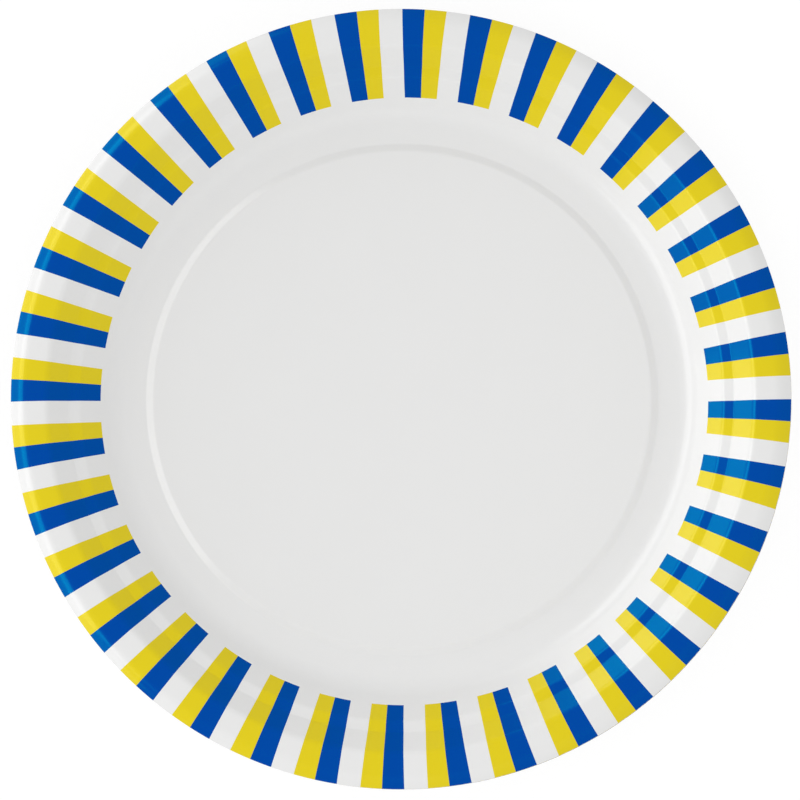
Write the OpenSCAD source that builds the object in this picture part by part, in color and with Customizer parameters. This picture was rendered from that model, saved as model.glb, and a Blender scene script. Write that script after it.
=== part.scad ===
// Stack of round paper plates, nested one in the next.
// A plate is one disc of coated board, pressed in a heated mould into a raised centre panel,
// a flat foot ring that it stands on, a curved wall with a shallow step in it, a flat brim and
// a lip that turns down. It is one piece with the same thickness all over.
// Sizes are in millimetres. The stack stands on z = 0 and is centred on the Z axis.

/* [Stack] */
// Number of plates in the stack
plate_count = 8; // [2:1:12]
// Upright play between two nested plates, over what their steepest slope needs
nest_play = 0.3; // [0.15:0.05:1]

/* [Board] */
// Thickness of the coated board
board_t = 0.5; // [0.3:0.05:0.8]

/* [Plate] */
// Overall diameter of a plate
plate_d = 230; // [170:1:300]
// Height of the centre panel above the foot ring
panel_rise = 1; // [0.4:0.1:2]
// Width of the slope from the centre panel down to the foot ring
drop_w = 2.1; // [1.6:0.1:4]
// Width of the foot ring, out to where its line would meet the wall's
foot_w = 9.4; // [8:0.1:14]
// Width of the wall, from the foot ring to the step
wall_w = 10; // [8:0.1:16]
// Height of the wall
wall_h = 9; // [6:0.5:12]
// Width of the shallow step above the wall
step_w = 3.3; // [2.6:0.1:6]
// Rise of the step from the wall to the upper wall
step_rise = 0.7; // [0.3:0.1:1.5]
// Width of the upper wall, from the step to the brim
upper_w = 6; // [4:0.5:10]
// Height of the upper wall
upper_h = 5.4; // [3:0.1:7]
// Width of the flat brim
brim_w = 7.2; // [5:0.1:12]
// Width of the lip outside the brim
lip_w = 3.5; // [3:0.1:6]
// Drop of the lip from the brim to the cut edge
lip_drop = 1.8; // [0.8:0.1:2.4]

/* [Bends] */
// Radius of the two bends between the centre panel and the foot ring
panel_bend = 2; // [1:0.1:3]
// Radius of the wide bend from the foot ring up into the wall
wall_bend = 9.5; // [4:0.1:12]
// Radius of the crease where the wall meets the step
crease_bend = 2.4; // [1:0.1:3]
// Radius of the bend where the step meets the upper wall
upper_bend = 1.5; // [0.8:0.1:3]
// Radius of the bend from the upper wall to the brim
brim_bend = 3; // [1:0.1:4]
// Radius of the bend from the brim down into the lip
lip_bend = 6; // [2:0.1:7]

/* [Hidden] */
// Straight pieces in the widest and in any other bend
wide_steps = 10;
bend_steps = 6;
// Facets in one turn
$fn = 180;

// Radii of the corners of the board's middle surface, from the cut edge inwards
lip_angle = atan2(lip_drop, lip_w);
edge_r = plate_d / 2 - board_t / 2 * sin(lip_angle);
brim_r = plate_d / 2 - lip_w;
upper_r = brim_r - brim_w;
step_r = upper_r - upper_w;
crease_r = step_r - step_w;
foot_r = crease_r - wall_w;
drop_r = foot_r - foot_w;
panel_r = drop_r - drop_w;

// Heights of the same corners
foot_z = board_t / 2;
panel_z = foot_z + panel_rise;
crease_z = foot_z + wall_h;
step_z = crease_z + step_rise;
brim_z = step_z + upper_h;
edge_z = brim_z - (edge_r - brim_r) * tan(lip_angle);

// The corners from the centre out: place, radius of the bend there, straight pieces in it
corners = [
    [[0, panel_z], 0, 0],
    [[panel_r, panel_z], panel_bend, bend_steps],
    [[drop_r, foot_z], panel_bend, bend_steps],
    [[foot_r, foot_z], wall_bend, wide_steps],
    [[crease_r, crease_z], crease_bend, bend_steps],
    [[step_r, step_z], upper_bend, bend_steps],
    [[upper_r, brim_z], brim_bend, bend_steps],
    [[brim_r, brim_z], lip_bend, bend_steps],
    [[edge_r, edge_z], 0, 0],
];
last = len(corners) - 1;

// Slope, in degrees, of the straight run from corner i to the next one
function slope(i) =
    let (run = corners[i + 1][0] - corners[i][0])
    atan2(run[1], run[0]);

// Direction out of the plate's upper side where the board has slope a
function up_normal(a) = [-sin(a), cos(a)];

// Places around the bend at corner i, each as point and slope
function bend(i) =
    let (
        before = slope(i - 1),
        turn = slope(i) - before,
        r = sign(turn) * corners[i][1],
        steps = corners[i][2],
        start = corners[i][0] - r * tan(turn / 2) * [cos(before), sin(before)],
        centre = start + r * up_normal(before)
    )
    [for (k = [0 : steps])
        let (a = before + turn * k / steps)
        [centre - r * up_normal(a), a]];

// The middle surface from the centre to the cut edge, each place as point and slope
middle = concat(
    [[corners[0][0], slope(0)]],
    [for (i = [1 : last - 1]) each bend(i)],
    [[corners[last][0], slope(last - 1)]]
);

// Plates stacked at this pitch keep clear of each other on their steepest slope.
steepest = max([for (i = [0 : last - 1]) abs(slope(i))]);
nest_pitch = board_t / cos(steepest) + nest_play;

// Section of a plate on one side of its axis
module board_section() {
    upper = [for (p = middle) p[0] + board_t / 2 * up_normal(p[1])];
    lower = [for (p = middle) p[0] - board_t / 2 * up_normal(p[1])];
    polygon(concat(upper, [for (i = [len(lower) - 1 : -1 : 0]) lower[i]]));
}

// One plate, standing on its foot ring
module plate() {
    color("white") rotate_extrude() board_section();
}

// The plates from the lowest to the top one
for (i = [0 : plate_count - 1])
    translate([0, 0, nest_pitch * i]) plate();
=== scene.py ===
"""A nested stack of round paper plates: pressed board with a glossy coat, and a rim printed in
yellow and blue rays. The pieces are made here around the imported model, at its places."""
import itertools
import math

import bmesh
import bpy
from bpy.props import FloatProperty, FloatVectorProperty, IntProperty, PointerProperty
from mathutils import Matrix, Vector


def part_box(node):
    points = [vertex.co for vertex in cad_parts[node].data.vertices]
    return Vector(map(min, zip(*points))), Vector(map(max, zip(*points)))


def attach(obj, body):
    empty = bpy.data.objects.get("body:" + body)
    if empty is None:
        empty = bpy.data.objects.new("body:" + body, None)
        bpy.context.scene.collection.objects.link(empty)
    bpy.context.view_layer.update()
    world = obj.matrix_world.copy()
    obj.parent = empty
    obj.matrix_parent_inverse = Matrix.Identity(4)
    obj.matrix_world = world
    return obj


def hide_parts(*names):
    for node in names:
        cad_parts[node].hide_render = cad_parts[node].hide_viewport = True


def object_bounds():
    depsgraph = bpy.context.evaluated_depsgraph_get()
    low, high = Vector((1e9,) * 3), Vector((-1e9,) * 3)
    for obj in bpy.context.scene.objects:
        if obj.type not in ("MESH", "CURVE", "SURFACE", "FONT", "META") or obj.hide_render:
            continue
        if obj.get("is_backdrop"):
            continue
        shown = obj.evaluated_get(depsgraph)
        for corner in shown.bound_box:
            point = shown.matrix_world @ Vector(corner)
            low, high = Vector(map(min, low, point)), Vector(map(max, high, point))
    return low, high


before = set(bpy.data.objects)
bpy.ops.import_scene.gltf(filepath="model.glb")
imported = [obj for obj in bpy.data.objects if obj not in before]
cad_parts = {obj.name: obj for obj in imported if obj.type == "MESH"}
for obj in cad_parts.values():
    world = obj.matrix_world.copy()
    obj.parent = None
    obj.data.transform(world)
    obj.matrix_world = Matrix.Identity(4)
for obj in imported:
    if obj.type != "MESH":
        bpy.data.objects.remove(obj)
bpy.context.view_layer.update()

bl_info = {
    "name": "Paper Plates",
    "version": (1, 0, 0),
    "blender": (4, 5, 0),
    "location": "3D View > Sidebar > Paper Plates",
    "description": "Models a nested stack of pressed paper plates with a printed rim",
    "category": "Object",
}

MM = 0.001
NODES = sorted(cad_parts, key=lambda name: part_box(name)[0].z)

# The rings round a plate, and the straight pieces in its wide bend and in the others
AROUND = 288
WIDE_STEPS = 12
BEND_STEPS = 7
# Rings between the centre of the plate and the edge of its panel, as shares of the way
PANEL_RINGS = (0.7, 0.4, 0.15)
# How far a point may lie off a ring and still be picked with it
RING_SLACK = 0.001 * MM
# Pieces in the rounding of the cut edge, the least angle of an edge that is rounded, and the
# greatest one between faces that are shaded as one
EDGE_SEGMENTS = 2
ROUNDED_ANGLE = math.radians(60)
SMOOTH_ANGLE = math.radians(50)

# The flat map that the print is laid out on, and the places of the underside and the cut edge
# in a plate's materials, after the printed upper side
PRINT_MAP = "print"
UNCOATED, CUT = 1, 2

# How far a plate is turned from the one above it
PLATE_TURN = math.radians(47)

# Gap that keeps the floor clear of the lowest plate's foot ring
FLOOR_GAP = 0.02 * MM
# How far the camera sees, in its own distances from the rim
CAMERA_REACH = 4
# Distance from the stack to the soft boxes, in metres
LAMP_DISTANCE = 2
# Each soft box: its direction and rise in degrees, its width and height in metres, the setting
# that makes it bright, whether it shows in gloss, and whether it lights the board
SOFT_BOXES = {
    "key_box": (168, 23, (5.2, 1.54), "key", True, True),
    "key_gleam": (172, 48, (2.8, 0.8), "gleam", True, False),
    "key_foot": (155, 7, (2.4, 0.4), "key_foot", True, True),
    "side_box": (300, 50, (2.2, 1.2), "side", False, True),
}

# Space between the nodes of a material, in the node editor
NODE_SPACE = 200


def length(name, description, millimetres):
    """A size that a user sets, given in millimetres and kept in metres."""
    return FloatProperty(name=name, description=description, default=millimetres * MM,
                         min=0, precision=5, unit="LENGTH", subtype="DISTANCE")


def share(name, description, value):
    """A part of one, such as the part of a repeat that a ray takes."""
    return FloatProperty(name=name, description=description, default=value, min=0, max=1,
                         subtype="FACTOR")


def colour(name, description, value):
    """A colour that a user picks."""
    return FloatVectorProperty(name=name, description=description, default=value, size=3,
                               min=0, max=1, subtype="COLOR")


def angle(name, description, degrees):
    """An angle that a user sets, given in degrees and kept in radians."""
    return FloatProperty(name=name, description=description, default=math.radians(degrees),
                         unit="ROTATION", subtype="ANGLE")


def glow(name, description, value):
    """How bright a lamp or the background is, where one shows as white."""
    return FloatProperty(name=name, description=description, default=value, min=0)


class PlateSettings(bpy.types.PropertyGroup):
    """Sizes of one pressed plate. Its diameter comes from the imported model."""

    board: length("Board", "Thickness of the coated board", 0.5)
    panel_rise: length("Panel rise", "Height of the centre panel above the foot ring", 1)
    drop_w: length("Drop width", "Width of the slope from the panel to the foot ring", 2.1)
    foot_w: length("Foot width", "Width of the foot ring, out to the line of the wall", 9.4)
    wall_w: length("Wall width", "Width of the wall, from the foot ring to the step", 10)
    wall_h: length("Wall height", "Height of the wall", 9)
    step_w: length("Step width", "Width of the shallow step above the wall", 3.3)
    step_rise: length("Step rise", "Rise of the step from the wall to the upper wall", 0.7)
    upper_w: length("Upper width", "Width of the upper wall, up to the brim", 6)
    upper_h: length("Upper height", "Height of the upper wall", 5.4)
    brim_w: length("Brim width", "Width of the flat brim", 7.2)
    lip_w: length("Lip width", "Width of the lip outside the brim", 3.5)
    lip_drop: length("Lip drop", "Drop of the lip down to the cut edge", 1.8)
    panel_bend: length("Panel bend", "Radius of the bends beside the centre panel", 2)
    wall_bend: length("Wall bend", "Radius of the wide bend up into the wall", 9.5)
    crease_bend: length("Crease bend", "Radius of the crease between wall and step", 2.4)
    upper_bend: length("Upper bend", "Radius of the bend from the step up the upper wall", 1.5)
    brim_bend: length("Brim bend", "Radius of the bend from the upper wall to the brim", 3)
    lip_bend: length("Lip bend", "Radius of the bend down into the lip", 6)
    edge_round: length("Edge round", "Rounding that the cut edge keeps from the die", 0.08)


class PrintSettings(bpy.types.PropertyGroup):
    """The printed rays and the surfaces of the board."""

    repeats: IntProperty(name="Repeats", description="Pairs of rays round the rim",
                         default=36, min=1)
    inner_r: length("Inner radius", "Radius at which the rays begin", 89.8)
    yellow_share: share("Yellow share", "Part of a repeat that a yellow ray starts with", 0.298)
    blue_share: share("Blue share", "Part of a repeat that a blue ray starts with", 0.305)
    flare: share("Flare", "How much faster than the repeat a ray widens outwards", 0.29)
    turn: angle("Turn", "Direction of the top plate's first border of yellow and blue", 6.85)
    offset: FloatVectorProperty(name="Offset", description="How far the print lies off centre",
                                default=(0.75 * MM, -0.45 * MM), size=2, precision=5,
                                unit="LENGTH", subtype="TRANSLATION")
    white: colour("White", "Coated board without ink", (0.83, 0.83, 0.825))
    yellow: colour("Yellow", "Yellow ink on the board", (0.775, 0.615, 0.001))
    yellow_glint: colour("Yellow glint", "Tint of what the yellow ink mirrors", (1, 1, 0.4))
    yellow_mirror: share("Yellow mirror", "How strongly the yellow ink mirrors", 0.6)
    blue: colour("Blue", "Blue ink on the board", (0.001, 0.003, 0.342))
    blue_glint: colour("Blue glint", "Colour that the blue ink mirrors", (0.004, 0.85, 0.9))
    blue_metal: share("Blue metal", "How far the blue ink mirrors as a metal does", 0.08)
    underside: colour("Underside", "Board without a coat", (0.76, 0.745, 0.71))
    cut: colour("Cut edge", "Raw board at the cut edge", (0.70, 0.68, 0.63))
    gloss: share("Gloss roughness", "Roughness of the coat", 0.19)
    gloss_spread: share("Gloss spread", "How far the coat's roughness goes up and down", 0.03)


class StudioSettings(bpy.types.PropertyGroup):
    """Camera, light and floor."""

    distance: FloatProperty(name="Camera distance", description="From the rim to the camera",
                            default=6, min=1, unit="LENGTH", subtype="DISTANCE")
    view_width: length("View width", "Width of what the camera sees at the rim", 235.5)
    tilt: angle("Tilt", "Angle between the camera's line of sight and straight down", 2.3)
    tilt_towards: angle("Tilt towards", "Direction from the axis to the camera", -43)
    aim: FloatVectorProperty(name="Aim", description="Place at the rim that the camera looks at",
                             default=(-0.185 * MM, -0.385 * MM), size=2, precision=5,
                             unit="LENGTH", subtype="TRANSLATION")
    key: glow("Key", "Brightness of the wide soft box at the left", 0.98)
    gleam: glow("Gleam", "Brightness of the gleam above that box, seen in gloss alone", 2.0)
    key_foot: glow("Key foot", "Brightness of the strip along the foot of that box", 1.05)
    side: glow("Side", "Brightness of the soft box at the lower right", 1.2)
    fill: glow("Fill", "Brightness of the light from all round", 0.662)
    floor: length("Floor", "Side of the square floor", 40000)
    floor_colour: colour("Floor colour", "Paper that the stack stands on", (0.85, 0.85, 0.85))
    floor_glow: glow("Floor glow", "Brightness that the floor shows beside the shadow", 1.08)
    floor_share: share("Floor share", "Part of what shows of the floor that is its glow", 0.82)


def bend_places(before, corner, after, radius, steps):
    """Places round the bend at a corner, along an arc that leaves both runs smoothly."""
    first = math.atan2(corner.y - before.y, corner.x - before.x)
    turn = math.atan2(after.y - corner.y, after.x - corner.x) - first
    reach = math.copysign(radius, turn)

    def up(slope):
        return Vector((-math.sin(slope), math.cos(slope)))

    start = corner - reach * math.tan(turn / 2) * Vector((math.cos(first), math.sin(first)))
    centre = start + reach * up(first)
    return [centre - reach * up(first + turn * step / steps) for step in range(steps + 1)]


def section_places(plate, rim_r):
    """Radius and height along the board's middle surface, from the panel to the cut edge."""
    lip_slope = math.atan2(plate.lip_drop, plate.lip_w)
    edge_r = rim_r - plate.board / 2 * math.sin(lip_slope)
    brim_r = rim_r - plate.lip_w
    upper_r = brim_r - plate.brim_w
    step_r = upper_r - plate.upper_w
    crease_r = step_r - plate.step_w
    foot_r = crease_r - plate.wall_w
    drop_r = foot_r - plate.foot_w
    panel_r = drop_r - plate.drop_w
    foot_z = plate.board / 2
    panel_z = foot_z + plate.panel_rise
    crease_z = foot_z + plate.wall_h
    step_z = crease_z + plate.step_rise
    brim_z = step_z + plate.upper_h
    edge_z = brim_z - (edge_r - brim_r) * math.tan(lip_slope)
    corners = [
        (0, panel_z, 0, 0),
        (panel_r, panel_z, plate.panel_bend, BEND_STEPS),
        (drop_r, foot_z, plate.panel_bend, BEND_STEPS),
        (foot_r, foot_z, plate.wall_bend, WIDE_STEPS),
        (crease_r, crease_z, plate.crease_bend, BEND_STEPS),
        (step_r, step_z, plate.upper_bend, BEND_STEPS),
        (upper_r, brim_z, plate.brim_bend, BEND_STEPS),
        (brim_r, brim_z, plate.lip_bend, BEND_STEPS),
        (edge_r, edge_z, 0, 0),
    ]
    places = []
    for before, corner, after in zip(corners, corners[1:], corners[2:]):
        points = [Vector(c[:2]) for c in (before, corner, after)]
        places += bend_places(*points, corner[2], corner[3])
    return places + [Vector(corners[-1][:2])]


def select_ring(mesh_object, radius):
    """Selects the edges that run round at a radius, and nothing else. Works in edit mode."""
    shape = bmesh.from_edit_mesh(mesh_object.data)
    for element in itertools.chain(shape.verts, shape.edges, shape.faces):
        element.select = False
    for edge in shape.edges:
        edge.select = all(abs(v.co.xy.length - radius) < RING_SLACK for v in edge.verts)
    shape.select_flush_mode()
    bmesh.update_edit_mesh(mesh_object.data)


def extrude_ring(before, after):
    """Extrudes the selected ring to another radius and height, given as two places."""
    bpy.ops.mesh.extrude_edges_move(TRANSFORM_OT_translate={"value": (0, 0, after.y - before.y)})
    wider = after.x / before.x
    bpy.ops.transform.resize(value=(wider, wider, 1))


def press_board(plate, rim_r):
    """Models the board's middle surface ring by ring, out from the panel and in to the centre."""
    places = section_places(plate, rim_r)
    first = places[0]
    bpy.ops.mesh.primitive_circle_add(vertices=AROUND, radius=first.x, fill_type="NOTHING",
                                      calc_uvs=False, location=(0, 0, first.y))
    board = bpy.context.object
    bpy.ops.object.transform_apply(location=True)
    bpy.ops.object.mode_set(mode="EDIT")
    bpy.ops.mesh.select_mode(type="EDGE")
    for before, after in zip(places, places[1:]):
        extrude_ring(before, after)
    select_ring(board, first.x)
    rings = [Vector((first.x * part, first.y)) for part in (1, *PANEL_RINGS)]
    for before, after in zip(rings, rings[1:]):
        extrude_ring(before, after)
    bpy.ops.mesh.extrude_edges_move()
    bpy.ops.mesh.merge(type="CENTER")
    bpy.ops.mesh.select_all(action="SELECT")
    bpy.ops.mesh.normals_make_consistent(inside=False)
    if bmesh.from_edit_mesh(board.data).verts[:][0].normal.z < 0:
        bpy.ops.mesh.flip_normals()
    bpy.ops.object.mode_set(mode="OBJECT")
    return board


def lay_print_map(board):
    """Maps the board flat, in metres from its middle, as the sheet lay in the press."""
    layer = board.data.uv_layers.new(name=PRINT_MAP)
    for corner, place in zip(board.data.loops, layer.uv):
        place.vector = board.data.vertices[corner.vertex_index].co.xy


def thicken(board, plate):
    """Gives the board its thickness, its underside and cut edge, and rounds that edge."""
    wall = board.modifiers.new("Board", "SOLIDIFY")
    wall.thickness = plate.board
    wall.offset = 0
    wall.use_even_offset = True
    wall.material_offset = UNCOATED
    wall.material_offset_rim = CUT
    bpy.ops.object.modifier_apply(modifier=wall.name)
    edge = board.modifiers.new("Cut edge", "BEVEL")
    edge.width = plate.edge_round
    edge.segments = EDGE_SEGMENTS
    edge.limit_method = "ANGLE"
    edge.angle_limit = ROUNDED_ANGLE
    bpy.ops.object.modifier_apply(modifier=edge.name)
    bpy.ops.object.shade_smooth_by_angle(angle=SMOOTH_ANGLE)


def put(tree, kind, inputs=(), **options):
    """Adds a node. A socket among the inputs is linked, and any other value is set."""
    node = tree.nodes.new(kind)
    node.location.x = NODE_SPACE * len(tree.nodes)
    for name, value in options.items():
        setattr(node, name, value)
    for name, value in dict(inputs).items():
        if isinstance(value, bpy.types.NodeSocket):
            tree.links.new(value, node.inputs[name])
        else:
            node.inputs[name].default_value = value
    return node


def calculate(tree, operation, *values):
    """Adds a Math node and returns its result."""
    return put(tree, "ShaderNodeMath", enumerate(values), operation=operation).outputs[0]


def new_group(name, inputs, outputs):
    """Starts a shader node group. A socket is given as its name and kind, and perhaps a value."""
    group = bpy.data.node_groups.new(name, "ShaderNodeTree")
    for socket, kind, *value in inputs:
        made = group.interface.new_socket(socket, in_out="INPUT", socket_type=kind)
        if value:
            made.default_value = value[0]
    for socket, kind in outputs:
        group.interface.new_socket(socket, in_out="OUTPUT", socket_type=kind)
    return group, put(group, "NodeGroupInput").outputs


def ray_group():
    """Masks of the yellow and blue rays, which meet along a border and fan out from it."""
    group, given = new_group(
        "Printed rays",
        [("Place", "NodeSocketVector"), ("Repeats", "NodeSocketFloat", 36.0),
         ("Yellow share", "NodeSocketFloat", 0.3), ("Blue share", "NodeSocketFloat", 0.3),
         ("Flare", "NodeSocketFloat", 0.0), ("Inner radius", "NodeSocketFloat", 0.09)],
        [("Yellow", "NodeSocketFloat"), ("Blue", "NodeSocketFloat")])
    axes = put(group, "ShaderNodeSeparateXYZ", {0: given["Place"]}).outputs
    radius = put(group, "ShaderNodeVectorMath", {0: given["Place"]},
                 operation="LENGTH").outputs["Value"]
    direction = calculate(group, "ARCTAN2", axes["Y"], axes["X"])
    turns = calculate(group, "DIVIDE", direction, 2 * math.pi)
    phase = calculate(group, "MULTIPLY", turns, given["Repeats"])
    from_border = calculate(group, "WRAP", phase, 0.5, -0.5)
    outwards = calculate(group, "DIVIDE", radius, given["Inner radius"])
    beyond = calculate(group, "SUBTRACT", outwards, 1.0)
    wider = calculate(group, "MULTIPLY_ADD", beyond, given["Flare"], 1.0)
    before_border = calculate(group, "MULTIPLY", given["Yellow share"], -1.0)
    yellow_end = calculate(group, "MULTIPLY", before_border, wider)
    blue_end = calculate(group, "MULTIPLY", given["Blue share"], wider)
    on_rim = calculate(group, "GREATER_THAN", radius, given["Inner radius"])
    in_either = calculate(group, "GREATER_THAN", from_border, yellow_end)
    past_border = calculate(group, "GREATER_THAN", from_border, 0.0)
    in_yellow = calculate(group, "SUBTRACT", in_either, past_border)
    before_end = calculate(group, "LESS_THAN", from_border, blue_end)
    in_blue = calculate(group, "MULTIPLY", past_border, before_end)
    put(group, "NodeGroupOutput", {
        "Yellow": calculate(group, "MULTIPLY", in_yellow, on_rim),
        "Blue": calculate(group, "MULTIPLY", in_blue, on_rim)})
    return group


def fibre_group():
    """The cloudy look and the fine relief of pressed fibres in paper board."""
    group, given = new_group(
        "Paper fibres",
        [("Cloud scale", "NodeSocketFloat", 100.0), ("Fibre scale", "NodeSocketFloat", 2000.0)],
        [("Cloud", "NodeSocketFloat"), ("Relief", "NodeSocketFloat")])
    place = put(group, "ShaderNodeTexCoord").outputs["Object"]
    cloud = put(group, "ShaderNodeTexNoise",
                {"Vector": place, "Scale": given["Cloud scale"], "Detail": 4.0,
                 "Roughness": 0.6}).outputs["Fac"]
    relief = put(group, "ShaderNodeTexNoise",
                 {"Vector": place, "Scale": given["Fibre scale"], "Detail": 3.0,
                  "Roughness": 0.7, "Distortion": 1.5}).outputs["Fac"]
    put(group, "NodeGroupOutput", {"Cloud": cloud, "Relief": relief})
    return group


def between(tree, part, low, high):
    """A value that runs from low to high as part runs from 0 to 1."""
    ends = {"Value": part, "To Min": low, "To Max": high}
    return put(tree, "ShaderNodeMapRange", ends).outputs[0]


def shaded(tree, value, tint):
    """A colour made a little darker or lighter by a value near one."""
    return put(tree, "ShaderNodeVectorMath", {0: tint, "Scale": value},
               operation="SCALE").outputs["Vector"]


def bumped(tree, height, strength, depth):
    """The direction of a face whose relief is depth high."""
    return put(tree, "ShaderNodeBump", {"Height": height, "Strength": strength,
                                        "Distance": depth}).outputs["Normal"]


def place_fibres(tree, cloud_scale, fibre_scale):
    """Places the fibre group in a material and returns its cloud and relief."""
    return put(tree, "ShaderNodeGroup",
               {"Cloud scale": cloud_scale, "Fibre scale": fibre_scale},
               node_tree=bpy.data.node_groups["Paper fibres"]).outputs


def blend(tree, part, first, second):
    """Mixes two shaders. Its part is how much of the second one shows."""
    return put(tree, "ShaderNodeMixShader", {0: part, 1: first, 2: second}).outputs[0]


def shows_backdrop(tree):
    """One for rays that bring the backdrop to the camera, straight, mirrored or through glass."""
    path = put(tree, "ShaderNodeLightPath").outputs
    seen = calculate(tree, "MAXIMUM", path["Is Camera Ray"], path["Is Glossy Ray"])
    return calculate(tree, "MAXIMUM", seen, path["Is Transmission Ray"])


def new_material(name):
    """An empty node material and its tree."""
    material = bpy.data.materials.new(name)
    material.use_nodes = True
    material.node_tree.nodes.clear()
    return material, material.node_tree


def printed_board(settings, cloud_scale, fibre_scale, contrast, bump_strength, bump_depth):
    """Coated board with yellow and blue ink under the gloss."""
    material, tree = new_material("Printed board")
    sheet = put(tree, "ShaderNodeUVMap", uv_map=PRINT_MAP).outputs["UV"]
    place = put(tree, "ShaderNodeMapping",
                {"Vector": sheet, "Location": (*settings.offset, 0),
                 "Rotation": (0, 0, settings.turn)}, vector_type="TEXTURE").outputs[0]
    rays = put(tree, "ShaderNodeGroup",
               {"Place": place, "Repeats": settings.repeats,
                "Yellow share": settings.yellow_share, "Blue share": settings.blue_share,
                "Flare": settings.flare, "Inner radius": settings.inner_r},
               node_tree=bpy.data.node_groups["Printed rays"]).outputs
    fibres = place_fibres(tree, cloud_scale, fibre_scale)
    tone = between(tree, fibres["Cloud"], 1 - contrast, 1 + contrast)
    roughness = between(tree, fibres["Cloud"], settings.gloss - settings.gloss_spread,
                        settings.gloss + settings.gloss_spread)
    normal = bumped(tree, fibres["Relief"], bump_strength, bump_depth)

    def coat(base, inputs=()):
        return put(tree, "ShaderNodeBsdfPrincipled",
                   {"Base Color": base, "Roughness": roughness, "Normal": normal,
                    **dict(inputs)}).outputs[0]

    white = coat(shaded(tree, tone, settings.white))
    yellow = coat(shaded(tree, tone, settings.yellow),
                  {"Specular IOR Level": settings.yellow_mirror,
                   "Specular Tint": (*settings.yellow_glint, 1)})
    blue = coat(shaded(tree, tone, settings.blue), {"Specular IOR Level": 0.0})
    glint = coat((*settings.blue_glint, 1), {"Metallic": 1.0})
    shiny_blue = blend(tree, settings.blue_metal, blue, glint)
    printed = blend(tree, rays["Yellow"], white, yellow)
    printed = blend(tree, rays["Blue"], printed, shiny_blue)
    put(tree, "ShaderNodeOutputMaterial", {"Surface": printed})
    return material


def raw_board(name, base, cloud_scale, fibre_scale, contrast, bump_strength, bump_depth,
              roughness_ends=(0.78, 0.92), specular=0.3):
    """Board without a coat, with cloudy fibres in its colour and a soft relief."""
    material, tree = new_material(name)
    fibres = place_fibres(tree, cloud_scale, fibre_scale)
    tone = between(tree, fibres["Cloud"], 1 - contrast, 1 + contrast)
    shader = put(tree, "ShaderNodeBsdfPrincipled",
                 {"Base Color": shaded(tree, tone, base),
                  "Roughness": between(tree, fibres["Relief"], *roughness_ends),
                  "Normal": bumped(tree, fibres["Relief"], bump_strength, bump_depth),
                  "Specular IOR Level": specular})
    put(tree, "ShaderNodeOutputMaterial", {"Surface": shader.outputs[0]})
    return material


def hang_lamp(name, direction, rise, size, brightness, target):
    """Hangs a soft box that faces the target, at a direction and rise given in radians."""
    data = bpy.data.lights.new(name, "AREA")
    data.shape = "RECTANGLE"
    data.size, data.size_y = size
    # A face of brightness 1 gives pi watts a square metre
    data.energy = brightness * math.pi * size[0] * size[1]
    lamp = bpy.data.objects.new(name, data)
    bpy.context.collection.objects.link(lamp)
    level = math.cos(rise)
    away = Vector((level * math.cos(direction), level * math.sin(direction), math.sin(rise)))
    lamp.location = target + LAMP_DISTANCE * away
    lamp.rotation_euler = away.to_track_quat("Z", "Y").to_euler()
    lamp.visible_camera = False
    return lamp


class PAPER_PLATES_OT_press(bpy.types.Operator):
    """Model the lowest plate: press the board, give it its thickness and print its rim"""

    bl_idname = "paper_plates.press"
    bl_label = "Press the Lowest Plate"

    def execute(self, context):
        plate, settings = context.scene.plate_settings, context.scene.print_settings
        bpy.ops.object.select_all(action="DESELECT")
        lowest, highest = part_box(NODES[0])
        board = press_board(plate, (highest.x - lowest.x) / 2)
        board.name = board.data.name = "pressed_plate_1"
        lay_print_map(board)
        ray_group()
        fibre_group()
        upper_side = printed_board(settings, cloud_scale=60, fibre_scale=900, contrast=0.01,
                                   bump_strength=0.5, bump_depth=0.002 * MM)
        underside = raw_board("Uncoated board", settings.underside, cloud_scale=350,
                              fibre_scale=2500, contrast=0.05, bump_strength=0.6,
                              bump_depth=0.02 * MM)
        cut_edge = raw_board("Cut board", settings.cut, cloud_scale=900, fibre_scale=6000,
                             contrast=0.12, bump_strength=0.6, bump_depth=0.03 * MM)
        for material in (upper_side, underside, cut_edge):
            board.data.materials.append(material)
        thicken(board, plate)
        return {"FINISHED"}


class PAPER_PLATES_OT_stack(bpy.types.Operator):
    """Copy the lowest plate up through the stack, each one turned its own way"""

    bl_idname = "paper_plates.stack"
    bl_label = "Stack the Plates"

    def execute(self, context):
        lowest_plate = bpy.data.objects.get("pressed_plate_1")
        if lowest_plate is None:
            raise RuntimeError("press the lowest plate first")
        plates = [lowest_plate]
        for number in range(2, len(NODES) + 1):
            self.pick(context, lowest_plate)
            bpy.ops.object.duplicate(linked=False)
            copy = context.object
            copy.name = copy.data.name = f"pressed_plate_{number}"
            plates.append(copy)
        for plate, node in zip(plates, NODES):
            self.pick(context, plate)
            self.set_down(plate, node)
            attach(plate, "root")
            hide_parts(node)
        return {"FINISHED"}

    def pick(self, context, plate):
        """Selects one plate and makes it the active one."""
        bpy.ops.object.select_all(action="DESELECT")
        plate.select_set(True)
        context.view_layer.objects.active = plate

    def set_down(self, plate, node):
        """Lifts the picked plate to its place in the stack and gives it a turn of its own."""
        above = len(NODES) - 1 - NODES.index(node)
        plate.location.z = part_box(node)[0].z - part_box(NODES[0])[0].z
        plate.rotation_euler.z = PLATE_TURN * above
        bpy.ops.object.transform_apply(location=True, rotation=True)


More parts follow.
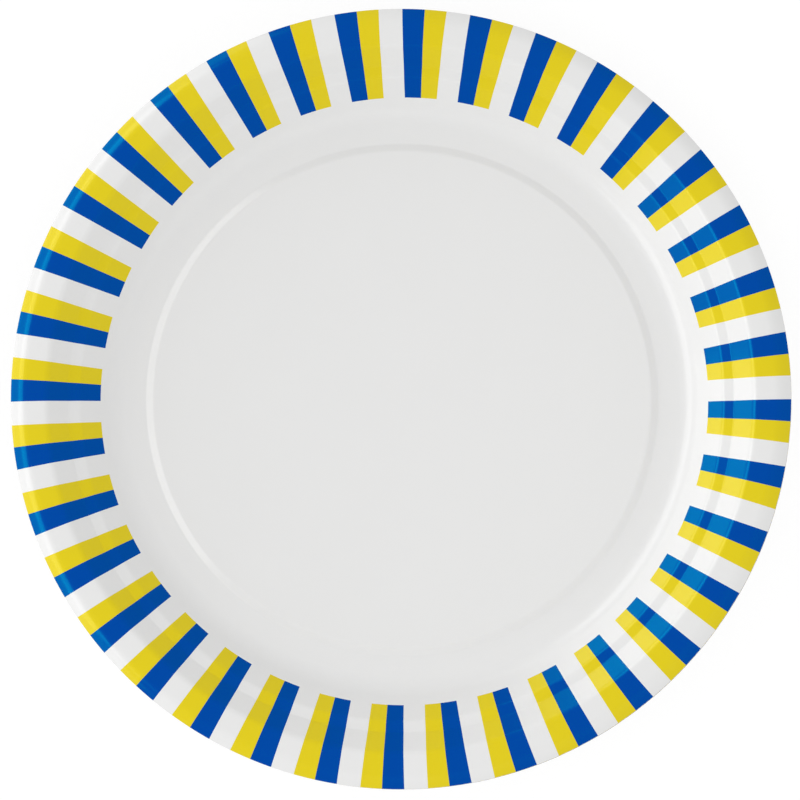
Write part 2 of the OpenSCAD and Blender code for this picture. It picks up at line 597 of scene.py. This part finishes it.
class PAPER_PLATES_OT_stage(bpy.types.Operator):
    """Lay the floor, hang the lamps and aim the camera down at the stack"""

    bl_idname = "paper_plates.stage"
    bl_label = "Set the Stage"

    def execute(self, context):
        studio = context.scene.studio_settings
        lowest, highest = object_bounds()
        self.lay_floor(studio, lowest.z - FLOOR_GAP)
        self.light(studio, Vector((0, 0, highest.z)))
        self.aim_camera(studio, Vector((*studio.aim, highest.z)))
        context.scene.view_settings.view_transform = "Standard"
        return {"FINISHED"}

    def lay_floor(self, studio, height):
        """A pale floor that shows white to the camera and keeps a light shadow."""
        bpy.ops.object.select_all(action="DESELECT")
        bpy.ops.mesh.primitive_plane_add(size=studio.floor, location=(0, 0, height))
        floor = bpy.context.object
        floor.name = "floor"
        material, tree = new_material("Floor")
        part = calculate(tree, "MULTIPLY", shows_backdrop(tree), studio.floor_share)
        paper = put(tree, "ShaderNodeBsdfDiffuse", {"Color": (*studio.floor_colour, 1)}).outputs[0]
        light = put(tree, "ShaderNodeEmission", {"Strength": studio.floor_glow}).outputs[0]
        put(tree, "ShaderNodeOutputMaterial", {"Surface": blend(tree, part, paper, light)})
        floor.data.materials.append(material)
        floor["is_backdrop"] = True

    def light(self, studio, target):
        """Light from all round, a wide soft box at the left with a gleam above it and a brighter
        foot, and a box at the lower right that doesn't show in gloss."""
        for name, box in SOFT_BOXES.items():
            direction, rise, size, setting, in_gloss, lights_board = box
            lamp = hang_lamp(name, math.radians(direction), math.radians(rise), size,
                             getattr(studio, setting), target)
            lamp.visible_glossy = in_gloss
            lamp.visible_diffuse = lights_board
        world = bpy.data.worlds.new("Studio")
        bpy.context.scene.world = world
        world.use_nodes = True
        tree = world.node_tree
        tree.nodes.clear()
        fill, white = (
            put(tree, "ShaderNodeBackground", {"Color": (1, 1, 1, 1), "Strength": strength})
            for strength in (studio.fill, 1.0))
        mixed = blend(tree, shows_backdrop(tree), fill.outputs[0], white.outputs[0])
        put(tree, "ShaderNodeOutputWorld", {"Surface": mixed})

    def aim_camera(self, studio, target):
        """Sets the camera above the stack, tilted a little, with the far side of the rim up."""
        data = bpy.data.cameras.new("camera")
        data.lens = data.sensor_width * studio.distance / studio.view_width
        data.clip_end = CAMERA_REACH * studio.distance
        camera = bpy.data.objects.new("camera", data)
        bpy.context.collection.objects.link(camera)
        level = math.sin(studio.tilt)
        direction = studio.tilt_towards
        back = Vector((level * math.cos(direction), level * math.sin(direction),
                       math.cos(studio.tilt)))
        right = Vector((0, 1, 0)).cross(back).normalized()
        turned = Matrix((right, back.cross(right), back)).transposed().to_4x4()
        camera.matrix_world = Matrix.Translation(target + studio.distance * back) @ turned
        bpy.context.scene.camera = camera


OPERATORS = (PAPER_PLATES_OT_press, PAPER_PLATES_OT_stack, PAPER_PLATES_OT_stage)


class VIEW3D_PT_paper_plates(bpy.types.Panel):
    """The settings of the plates, their print and the studio, and the steps in order"""

    bl_label = "Paper Plates"
    bl_idname = "VIEW3D_PT_paper_plates"
    bl_space_type = "VIEW_3D"
    bl_region_type = "UI"
    bl_category = "Paper Plates"

    def draw(self, context):
        scene = context.scene
        for settings in (scene.plate_settings, scene.print_settings, scene.studio_settings):
            box = self.layout.box()
            for name in settings.__annotations__:
                box.prop(settings, name)
        for operator in OPERATORS:
            self.layout.operator(operator.bl_idname)


CLASSES = (PlateSettings, PrintSettings, StudioSettings, *OPERATORS, VIEW3D_PT_paper_plates)


def register():
    for cls in CLASSES:
        bpy.utils.register_class(cls)
    bpy.types.Scene.plate_settings = PointerProperty(type=PlateSettings)
    bpy.types.Scene.print_settings = PointerProperty(type=PrintSettings)
    bpy.types.Scene.studio_settings = PointerProperty(type=StudioSettings)


def unregister():
    del bpy.types.Scene.studio_settings
    del bpy.types.Scene.print_settings
    del bpy.types.Scene.plate_settings
    for cls in reversed(CLASSES):
        bpy.utils.unregister_class(cls)


def main():
    register()
    bpy.ops.paper_plates.press()
    bpy.ops.paper_plates.stack()
    bpy.ops.paper_plates.stage()


if __name__ == "__main__":
    main()
